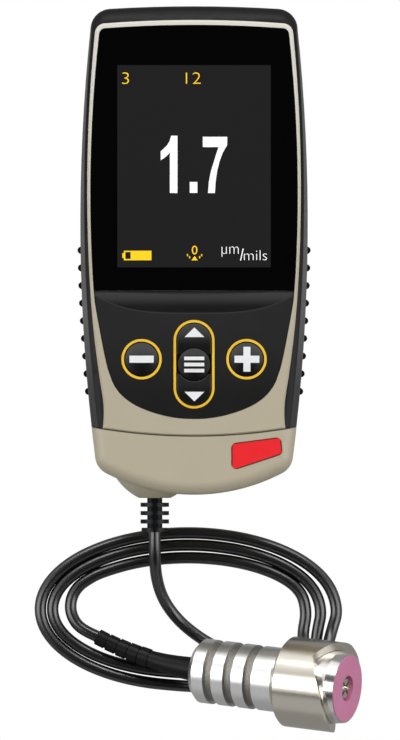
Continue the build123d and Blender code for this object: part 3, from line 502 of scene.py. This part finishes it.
def shell_finish():
    """Rubber cover: grey flanks, a dark strip beside the rim that is partly the rubber's colour and partly
    painted shadow of the groove there, and black grip nubs.
    """
    finish = Finish("shell_rubber")
    clouds, grain = finish.noise(9.0, 3.0), finish.noise(0.3, 3.0)
    y = finish.along((0, 1, 0))
    from_widest = y - WIDEST_Y
    half_width = BODY_HALF_WIDTH - from_widest * from_widest / (2 * SIDE_RADIUS)
    inward = half_width - finish.along((1, 0, 0)).size()
    front = finish.along((0, 0, 1)).rise(*FRONT_Z)
    display_end = y.rise(*DISPLAY_END_Y)
    # The dark strip beside the rim is partly the rubber's own colour and partly painted shadow of the groove
    # between rubber and rim
    strip_and_groove_shade = (inward - STRIP_INWARD + y * STRIP_LEAN).rise(-0.15, 0.2) * front
    nubs = 1.0 - inward.rise(-0.14, -0.04)
    flank = finish.mix(y.rise(*FLANK_Y), grey(66), grey(106))
    flank = finish.mix(display_end, flank, grey(26))
    tint = finish.mix(strip_and_groove_shade, flank, finish.mix(display_end, grey(10), grey(22)))
    tint = finish.mix(front, linear(48, 49, 51), tint)
    tint = finish.mix(nubs, tint, grey(5))
    tint = finish.mix(clouds.rise(0.2, 0.8) * 0.16 + grain * 0.08, tint, linear(20, 20, 21))
    gloss = 0.5 + (grain - 0.5) * 0.12 - strip_and_groove_shade * 0.06
    return finish.done(
        Base_Color=tint, Roughness=gloss, Specular_IOR_Level=0.2, Normal=finish.bump(grain, 0.03),
    )


def pale_finish():
    """Beige moulding: paler toward the top of the rim as painted light, with the joint between chin and cap
    darkened as painted shade in its gap.
    """
    finish = Finish("pale_plastic")
    clouds, grain = finish.noise(9.0, 3.0), finish.noise(0.22, 3.0)
    x, y = finish.along((1, 0, 0)), finish.along((0, 1, 0))
    off_seam = (y - SEAM_Y - x * x * (SEAM_RISE / SEAM_HALF_WIDTH ** 2)).size()
    tint = finish.mix(clouds * 0.7 + grain * 0.3, linear(184, 175, 152), linear(190, 181, 158))
    # Painted light: the beige grows paler toward the top of the rim
    tint = finish.mix(y.rise(-30.0, 66.0), tint, linear(227, 223, 213))
    # Painted shade: the joint between chin and cap is darkened along its gap
    tint = finish.mix((1.0 - off_seam.rise(0.1, 0.26)) * 0.75, tint, linear(52, 40, 30))
    gloss = 0.42 + clouds * 0.05 + (grain - 0.5) * 0.04
    return finish.done(Base_Color=tint, Roughness=gloss, Normal=finish.bump(grain, 0.006))


def fascia_finish():
    """Satin black keypad plate, painted darker towards the bottom as shade, with painted light and shade in
    the scoop under the window and a fine painted highlight round it.
    """
    finish = Finish("fascia_black")
    clouds, grain = finish.noise(7.0, 3.0), finish.noise(0.28, 3.0)
    down = LENS_EDGE_Y - finish.along((0, 1, 0))
    across = finish.along((1, 0, 0)).size() / SCOOP_HALF_WIDTH
    inside = (1.0 - across.power(SCOOP_POWER)) * SCOOP_LENGTH - down
    # Painted shade: the plate's colour darkens towards the bottom
    plate = finish.mix(down.rise(8.0, 34.0), grey(32), linear(15, 14, 13))
    # Painted light and shade in the scoop: a dark shadow band right under the window, then pale, fading to
    # near black lower down
    shade = finish.mix(down.rise(0.8, 4.6), grey(58), grey(3))
    shade = finish.mix(down.rise(0.0, 0.7), grey(10), shade)
    tint = finish.mix(inside.rise(-0.12, 0.02), plate, shade)
    # Painted highlight: a fine pale line just outside the scoop's edge
    tint = finish.mix(inside.between(-0.28, 0.0, 0.1), tint, grey(52))
    tint = finish.mix(clouds * 0.1, tint, linear(40, 40, 42))
    gloss = 0.34 + clouds * 0.05 + (grain - 0.5) * 0.06
    return finish.done(
        Base_Color=tint, Roughness=gloss, Specular_IOR_Level=0.4, Normal=finish.bump(grain, 0.004),
    )


def key_finish(name, y, low, high, pale):
    """Glossy black key with a painted highlight: its domed top is paler on the side of the light."""
    finish = Finish(name)
    clouds, grain = finish.noise(2.0, 3.0), finish.noise(0.3, 3.0)
    # Painted highlight: the key grows paler toward the side of the light
    lit = (finish.along((0, 1, 0)) - y).rise(low, high) * pale
    tint = finish.mix(lit, finish.mix(clouds, grey(7), grey(11)), grey(74))
    gloss = 0.3 + clouds * 0.05
    return finish.done(
        Base_Color=tint, Roughness=gloss, Specular_IOR_Level=0.4, Normal=finish.bump(grain, 0.003),
    )


def finishes():
    """The materials of the CAD nodes by name."""
    made = [moulded(name, *values) for name, values in MOULDED.items()]
    made += [turned(name, *values) for name, values in TURNED.items()]
    made += [key_finish(name, *values) for name, values in KEY_LIGHT.items()]
    made += [lens_finish(), barrel_finish(), board_finish(), cell_finish(), badge_finish()]
    made += [shell_finish(), pale_finish(), fascia_finish()]
    return {material.name: material for material in made}


def link(obj, body=None, material=None):
    """Puts a new object in the scene, on its body, with its material."""
    bpy.context.scene.collection.objects.link(obj)
    if material:
        obj.data.materials.append(material)
    if body:
        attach(obj, body)
    return obj


def face_shift(place):
    """How far a place of the front moves for the rounder corners of the keypad plate."""
    x, y = place.x / MM, place.y / MM - FACE_MIDDLE_Y
    reach = math.hypot(x, y)
    angle = math.degrees(math.atan2(-y, abs(x)))
    for (first, old_first, new_first), (last, old_last, new_last) in zip(FACE_EDGE, FACE_EDGE[1:]):
        if first <= angle <= last:
            share = (angle - first) / (last - first)
            old = old_first + (old_last - old_first) * share
            new = new_first + (new_last - new_first) * share
            fade = FACE_FADE_OUT if reach > old else FACE_FADE_IN
            weight = 1.0 - (abs(reach - old) - FACE_HOLD) / fade
            step = (new - old) * max(0.0, min(1.0, weight)) * MM / reach
            return Vector((x * step, y * step, 0.0))
    return Vector((0.0, 0.0, 0.0))


def rounder(node, name, material):
    """Puts a copy of a front piece in its place, with the edge at the keypad plate as in the photo."""
    made = bmesh.new()
    made.from_mesh(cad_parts[node].data)
    bmesh.ops.remove_doubles(made, verts=made.verts, dist=MERGE * MM)
    edges = [edge for edge in made.edges if edge.calc_length() > FACE_LONG_EDGE * MM]
    edges = [edge for edge in edges if all(face_shift(vert.co).length > 0 for vert in edge.verts)]
    bmesh.ops.subdivide_edges(made, edges=edges, cuts=FACE_CUTS)
    bmesh.ops.triangulate(made, faces=[face for face in made.faces if len(face.verts) > 3])
    for vert in made.verts:
        if vert.co.z > FACE_LOWEST_Z * MM:
            vert.co += face_shift(vert.co)
    made.normal_update()
    for face in made.faces:
        face.smooth = abs(face.normal.z) < LEVEL
    mesh = bpy.data.meshes.new(name)
    made.to_mesh(mesh)
    made.free()
    # The CAD's own normals came along with the copy and fit the old edge
    for layer in [item for item in mesh.attributes if item.name == "custom_normal"]:
        mesh.attributes.remove(layer)
    mesh.set_sharp_from_angle(angle=math.radians(SHARP_DEGREES))
    piece = link(bpy.data.objects.new(name, mesh), "gauge", material)
    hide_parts(node)


def turn_points():
    """Control points of the turns on the table, outer turn first, each a little smaller than the last."""
    turns = []
    for (right, top, left, bottom), (first, last) in zip(TURNS, TURN_SPANS):
        points = []
        for step in range(int(first / TURN_STEP), int(last / TURN_STEP) + 1):
            angle = math.radians(step * TURN_STEP)
            across, up = TURN_GROWTH * math.cos(angle), TURN_GROWTH * math.sin(angle)
            points.append((
                TURN_CENTRE[0] + across * (right if across > 0 else left),
                TURN_CENTRE[1] + up * (top if up > 0 else bottom),
                CABLE_Z,
            ))
        turns.append(points)
    return turns


def surface_of(node):
    """What finds the height of a node's surface."""
    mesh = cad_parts[node].data
    return BVHTree.FromPolygons([v.co[:] for v in mesh.vertices], [p.vertices[:] for p in mesh.polygons])


def printed(name, shapes, node, body, material, lift, finest):
    """Flat shapes given as closed outlines in millimetres, laid on the front of a node."""
    made = bmesh.new()
    for outline in shapes:
        made.faces.new([made.verts.new((x * MM, y * MM, 0.0)) for x, y in outline])
    made.normal_update()
    bmesh.ops.triangulate(made, faces=made.faces[:])
    for _ in range(MOST_SPLITS):
        long = [edge for edge in made.edges if edge.calc_length() > finest * MM]
        if not long:
            break
        bmesh.ops.subdivide_edges(made, edges=long, cuts=1)
        bmesh.ops.triangulate(made, faces=made.faces[:])
    below = surface_of(node)
    for vert in made.verts:
        hit = below.ray_cast(Vector((vert.co.x, vert.co.y, ABOVE_ALL)), Vector((0, 0, -1)))
        if hit[0] is None:
            raise RuntimeError(name + " reaches past " + node)
        vert.co.z = hit[0].z + lift * MM
    bmesh.ops.recalc_face_normals(made, faces=made.faces[:])
    for face in made.faces:
        if face.normal.z < 0:
            face.normal_flip()
    mesh = bpy.data.meshes.new(name)
    made.to_mesh(mesh)
    made.free()
    return link(bpy.data.objects.new(name, mesh), body, material)


def box_shape(x, y, width, height):
    """A rectangle about a centre."""
    w, h = width / 2, height / 2
    return [(x - w, y - h), (x + w, y - h), (x + w, y + h), (x - w, y + h)]


def ink(name, colour, other, glow=0.0):
    """Printed ink or a lit picture: even colour with a faint grain."""
    finish = Finish(name)
    grain = finish.noise(0.25, 3.0)
    tint = finish.mix(grain, colour, other)
    return finish.done(
        Base_Color=tint, Roughness=0.4 + grain * 0.1, Normal=finish.bump(grain, 0.003),
        Emission_Color=tint, Emission_Strength=glow,
    )


def lettering(name, words, x, y, height, width, thicker):
    """Text as shapes of a given height and width in millimetres, from its lower left corner."""
    curve = bpy.data.curves.new(name, "FONT")
    curve.body = words
    curve.offset = thicker
    text = bpy.data.objects.new(name, curve)
    bpy.context.scene.collection.objects.link(text)
    bpy.context.view_layer.update()
    depsgraph = bpy.context.evaluated_depsgraph_get()
    mesh = bpy.data.meshes.new_from_object(text.evaluated_get(depsgraph))
    bpy.data.objects.remove(text)
    low = [min(v.co[i] for v in mesh.vertices) for i in (0, 1)]
    high = [max(v.co[i] for v in mesh.vertices) for i in (0, 1)]
    shapes = []
    for face in mesh.polygons:
        shapes.append([
            (x + (mesh.vertices[i].co.x - low[0]) / (high[0] - low[0]) * width,
             y + (mesh.vertices[i].co.y - low[1]) / (high[1] - low[1]) * height)
            for i in face.vertices
        ])
    return shapes


class CableSettings(bpy.types.PropertyGroup):
    """Sizes of the probe's cable."""
    diameter: bpy.props.FloatProperty(
        name="Diameter", description="Outside diameter of the cable", default=0.0032, unit="LENGTH",
    )
    length: bpy.props.FloatProperty(
        name="Length", description="Length of the cable from gland to boot", default=0.553, unit="LENGTH",
    )


class ScreenSettings(bpy.types.PropertyGroup):
    """What the display shows."""
    glow: bpy.props.FloatProperty(name="Glow", description="How bright the lit figures are", default=0.2)
    lift: bpy.props.FloatProperty(
        name="Lift", description="Height of print over its surface in millimetres", default=0.02,
    )


class StageSettings(bpy.types.PropertyGroup):
    """Camera, floor and lights."""
    camera_height: bpy.props.FloatProperty(
        name="Camera height", description="Height of the camera over the floor", default=4.0, unit="LENGTH",
    )
    side_light: bpy.props.FloatProperty(
        name="Side lights", description="Power of the two side lights", default=4.6, unit="POWER",
    )
    top_light: bpy.props.FloatProperty(
        name="Top light", description="Power of the light beyond the display end", default=8.0, unit="POWER",
    )
    room_light: bpy.props.FloatProperty(
        name="Room light", description="Strength of the even light from all sides", default=0.18,
    )
    room_glare: bpy.props.FloatProperty(
        name="Room glare", description="Strength of the ceiling in glossy reflections", default=0.02,
    )
    floor_glare: bpy.props.FloatProperty(
        name="Floor glare", description="Strength of the floor in glossy reflections", default=0.3,
    )
    far_panel: bpy.props.FloatProperty(
        name="Far panel", description="Strength of the reflected wall beyond the display end", default=1.0,
    )
    near_panel: bpy.props.FloatProperty(
        name="Near panel", description="Strength of the reflected wall beyond the cable", default=0.45,
    )


class GAUGE_OT_finishes(bpy.types.Operator):
    """Gives every part of the model its material"""
    bl_idname = "gauge.finishes"
    bl_label = "Finish the model's parts"

    def execute(self, context):
        made = finishes()
        for node, name in NODE_FINISH.items():
            if node in ROUNDED:
                rounder(node, ROUNDED[node], made[name])
                continue
            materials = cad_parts[node].data.materials
            materials.clear()
            materials.append(made[name])
        return {"FINISHED"}


class GAUGE_OT_cable(bpy.types.Operator):
    """Lays the cable from the gland, in its turns, to the boot of the probe"""
    bl_idname = "gauge.cable"
    bl_label = "Cable"

    def execute(self, context):
        settings = context.scene.gauge_cable
        turns = turn_points()
        route = LEAD + CLIMB + turns[0] + UNDER_FIRST + turns[1] + UNDER_SECOND + turns[2] + TAIL
        curve = bpy.data.curves.new("cable", "CURVE")
        curve.dimensions = "3D"
        curve.bevel_depth = settings.diameter / 2
        curve.bevel_resolution = CABLE_ROUND
        curve.resolution_u = CABLE_STEPS
        curve.use_fill_caps = True
        spline = curve.splines.new("NURBS")
        spline.points.add(len(route) - 1)
        for point, place in zip(spline.points, route):
            point.co = (*(part * MM for part in place), 1.0)
        spline.order_u = 3
        spline.use_endpoint_u = True
        cable = link(bpy.data.objects.new("cable", curve), "probe_lead", cable_finish())
        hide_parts("cable_lead", "cable_coil", "cable_tail")
        return {"FINISHED"}


class GAUGE_OT_screen(bpy.types.Operator):
    """Draws the reading and the small signs on the display"""
    bl_idname = "gauge.screen"
    bl_label = "Display picture"

    def execute(self, context):
        settings = context.scene.gauge_screen
        white = ink("figures_white", linear(244, 245, 246), linear(252, 253, 253), settings.glow)
        yellow = ink("signs_yellow", linear(254, 202, 0), linear(255, 210, 6), settings.glow)
        one = [
            (-4.45, 15.9), (-4.45, 31.3), (-6.15, 31.3), (-6.55, 29.9), (-7.2, 28.8), (-8.15, 27.8),
            (-8.95, 27.15), (-8.95, 24.7), (-7.9, 25.4), (-6.95, 26.25), (-6.5, 26.85), (-6.5, 15.9),
        ]
        seven = [
            (2.35, 31.0), (2.35, 28.25), (6.6, 28.25), (6.0, 26.5), (5.4, 24.5), (4.6, 22.0), (4.0, 19.05),
            (3.75, 15.9), (5.6, 15.9), (5.8, 19.05), (6.25, 22.0), (6.85, 24.4), (7.7, 26.7), (8.9, 28.85),
            (8.9, 31.0),
        ]
        dot = box_shape(-0.13, 17.4, 2.05, 2.95)
        unit = lettering("unit_low", "mils", 13.4, -2.15, 2.7, 6.2, THIN)
        unit += lettering("unit_high", "\u00b5m", 7.4, -1.2, 2.7, 4.6, THIN)
        unit.append([(12.35, -2.2), (12.65, -2.2), (13.35, 1.0), (13.05, 1.0)])
        small = lettering("left", "3", -19.4, 45.2, 3.1, 1.9, THIN)
        small += lettering("middle", "12", -2.2, 45.2, 3.1, 4.0, THIN)
        cell = [
            box_shape(-15.15, -2.0, 7.4, 0.35), box_shape(-15.15, 0.22, 7.4, 0.35),
            box_shape(-19.05, -0.89, 0.45, 1.3), box_shape(-18.65, -0.89, 0.4, 1.87),
            box_shape(-14.25, -0.89, 5.6, 1.87),
        ]
        sign = lettering("zero", "0", -0.6, -0.6, 2.35, 1.5, 0.0)
        sign.append([(-0.7, -2.2), (1.0, -2.2), (0.15, -1.0)])
        for side in (-1, 1):
            for step in (0.0, 0.55):
                sign.append(box_shape(0.15 + side * (1.35 + step), -1.35 + step, 0.3, 0.6))
        pictures = {
            "figures": ([one, dot, seven], white),
            "unit_name": (unit, white),
            "signs": (small + cell + sign, yellow),
        }
        for name, (shapes, material) in pictures.items():
            piece = printed(name, shapes, "display_lens", "gauge", material, settings.lift, WINDOW_FINEST)
        return {"FINISHED"}


class GAUGE_OT_marks(bpy.types.Operator):
    """Prints the white marks on the five keys"""
    bl_idname = "gauge.marks"
    bl_label = "Key marks"

    def execute(self, context):
        lift = context.scene.gauge_screen.lift
        white = ink("marks_white", linear(238, 239, 240), linear(248, 249, 250))
        plus = [
            (-0.95, -3.35), (0.95, -3.35), (0.95, -0.95), (3.35, -0.95), (3.35, 0.95), (0.95, 0.95),
            (0.95, 3.35), (-0.95, 3.35), (-0.95, 0.95), (-3.35, 0.95), (-3.35, -0.95), (-0.95, -0.95),
        ]
        marks = {
            "minus": [box_shape(MINUS_X, KEY_ROW_Y, 6.55, 1.9)],
            "plus": [[(x + PLUS_X, y + KEY_ROW_Y) for x, y in plus]],
            "up": [[(-2.55, -22.8), (2.75, -22.8), (0.1, -20.2)]],
            "menu": [box_shape(0.05, MENU_Y + row, 5.4, 0.97) for row in MENU_ROWS],
            "down": [[(-2.55, -37.5), (0.1, -40.1), (2.75, -37.5)]],
        }
        for key, shapes in marks.items():
            node = "key_" + key
            piece = printed("mark_" + key, shapes, node, node + "_body", white, lift, KEY_FINEST)
        return {"FINISHED"}


class GAUGE_OT_stage(bpy.types.Operator):
    """Sets the camera, the pale floor and the soft lights"""
    bl_idname = "gauge.stage"
    bl_label = "Stage"

    def execute(self, context):
        settings = context.scene.gauge_stage
        camera = bpy.data.objects.new("camera", bpy.data.cameras.new("camera"))
        context.scene.collection.objects.link(camera)
        camera.location = (*VIEW_MIDDLE, settings.camera_height)
        camera.data.lens = camera.data.sensor_width * (settings.camera_height - FACE_HEIGHT) / VIEW_LENGTH
        context.scene.camera = camera
        context.scene.view_settings.view_transform = "Standard"
        floor = bpy.data.meshes.new("floor")
        corners = [(x * FLOOR_REACH, y * FLOOR_REACH, FLOOR_Z) for x, y in FLOOR_CORNERS]
        floor.from_pydata(corners, [], [(0, 1, 2, 3)])
        finish = Finish("floor_white")
        shade = finish.node("ShaderNodeBsdfDiffuse", inputs={"Color": FLOOR_GREY})
        for rays, strength in (("Is Glossy Ray", settings.floor_glare), ("Is Camera Ray", 1.0)):
            share = finish.node("ShaderNodeLightPath", output=rays)
            glow = finish.node("ShaderNodeEmission", inputs={"Color": WHITE, "Strength": strength})
            shade = finish.node("ShaderNodeMixShader", inputs={0: share, 1: shade, 2: glow})
        # Seen from below the floor is clear, so that the back can be looked at
        below = finish.node("ShaderNodeNewGeometry", output="Backfacing")
        clear = finish.node("ShaderNodeBsdfTransparent")
        finish.node_out(finish.node("ShaderNodeMixShader", inputs={0: below, 1: shade, 2: clear}))
        link(bpy.data.objects.new("floor", floor), material=finish.material)
        world = bpy.data.worlds.new("studio")
        context.scene.world = world
        room = Finish("studio", world)
        way = room.node("ShaderNodeTexCoord", output="Generated")
        toward_top = room.node("ShaderNodeSeparateXYZ", inputs={0: way}, output="Y")
        height = room.node("ShaderNodeSeparateXYZ", inputs={0: way}, output="Z")
        panels = toward_top.rise(*FAR_PANEL_Y) * settings.far_panel
        panels = panels + (1.0 - toward_top.rise(*NEAR_PANEL_Y)) * settings.near_panel
        glare = panels * (1.0 - height.rise(*PANEL_TOP_Z)) + settings.room_glare
        air = room.node("ShaderNodeBackground", inputs={"Strength": settings.room_light})
        for rays, strength in (("Is Glossy Ray", glare), ("Is Camera Ray", 1.0)):
            share = room.node("ShaderNodeLightPath", output=rays)
            sky = room.node("ShaderNodeBackground", inputs={"Color": WHITE, "Strength": strength})
            air = room.node("ShaderNodeMixShader", inputs={0: share, 1: air, 2: sky})
        room.node_out(air, "ShaderNodeOutputWorld")
        for name, place, size, power in LAMPS:
            light = bpy.data.lights.new(name, "AREA")
            light.shape = "RECTANGLE"
            light.size, light.size_y = size
            light.energy = getattr(settings, power)
            lamp = bpy.data.objects.new(name, light)
            context.scene.collection.objects.link(lamp)
            lamp.location = place
            aim = Vector(LAMP_AIM) - lamp.location
            lamp.rotation_euler = aim.to_track_quat("-Z", "Y").to_euler()
        return {"FINISHED"}


OPERATORS = (GAUGE_OT_finishes, GAUGE_OT_cable, GAUGE_OT_screen, GAUGE_OT_marks, GAUGE_OT_stage)
SETTINGS = {"gauge_cable": CableSettings, "gauge_screen": ScreenSettings, "gauge_stage": StageSettings}


class GAUGE_PT_panel(bpy.types.Panel):
    """Shows the gauge's settings and the buttons that build it"""
    bl_idname = "GAUGE_PT_panel"
    bl_label = "Surface profile gauge"
    bl_space_type = "VIEW_3D"
    bl_region_type = "UI"
    bl_category = "Gauge"

    def draw(self, context):
        for group in SETTINGS:
            settings = getattr(context.scene, group)
            for name in settings.__annotations__:
                self.layout.prop(settings, name)
        for operator in OPERATORS:
            self.layout.operator(operator.bl_idname)


def register():
    for settings in SETTINGS.values():
        bpy.utils.register_class(settings)
    for operator in OPERATORS:
        bpy.utils.register_class(operator)
    bpy.utils.register_class(GAUGE_PT_panel)
    for group, settings in SETTINGS.items():
        setattr(bpy.types.Scene, group, bpy.props.PointerProperty(type=settings))


def unregister():
    for group in SETTINGS:
        delattr(bpy.types.Scene, group)
    bpy.utils.unregister_class(GAUGE_PT_panel)
    for operator in reversed(OPERATORS):
        bpy.utils.unregister_class(operator)
    for settings in reversed(list(SETTINGS.values())):
        bpy.utils.unregister_class(settings)


def main():
    register()
    bpy.ops.gauge.stage()
    bpy.ops.gauge.cable()
    bpy.ops.gauge.finishes()
    bpy.ops.gauge.screen()
    bpy.ops.gauge.marks()


if __name__ == "__main__":
    main()
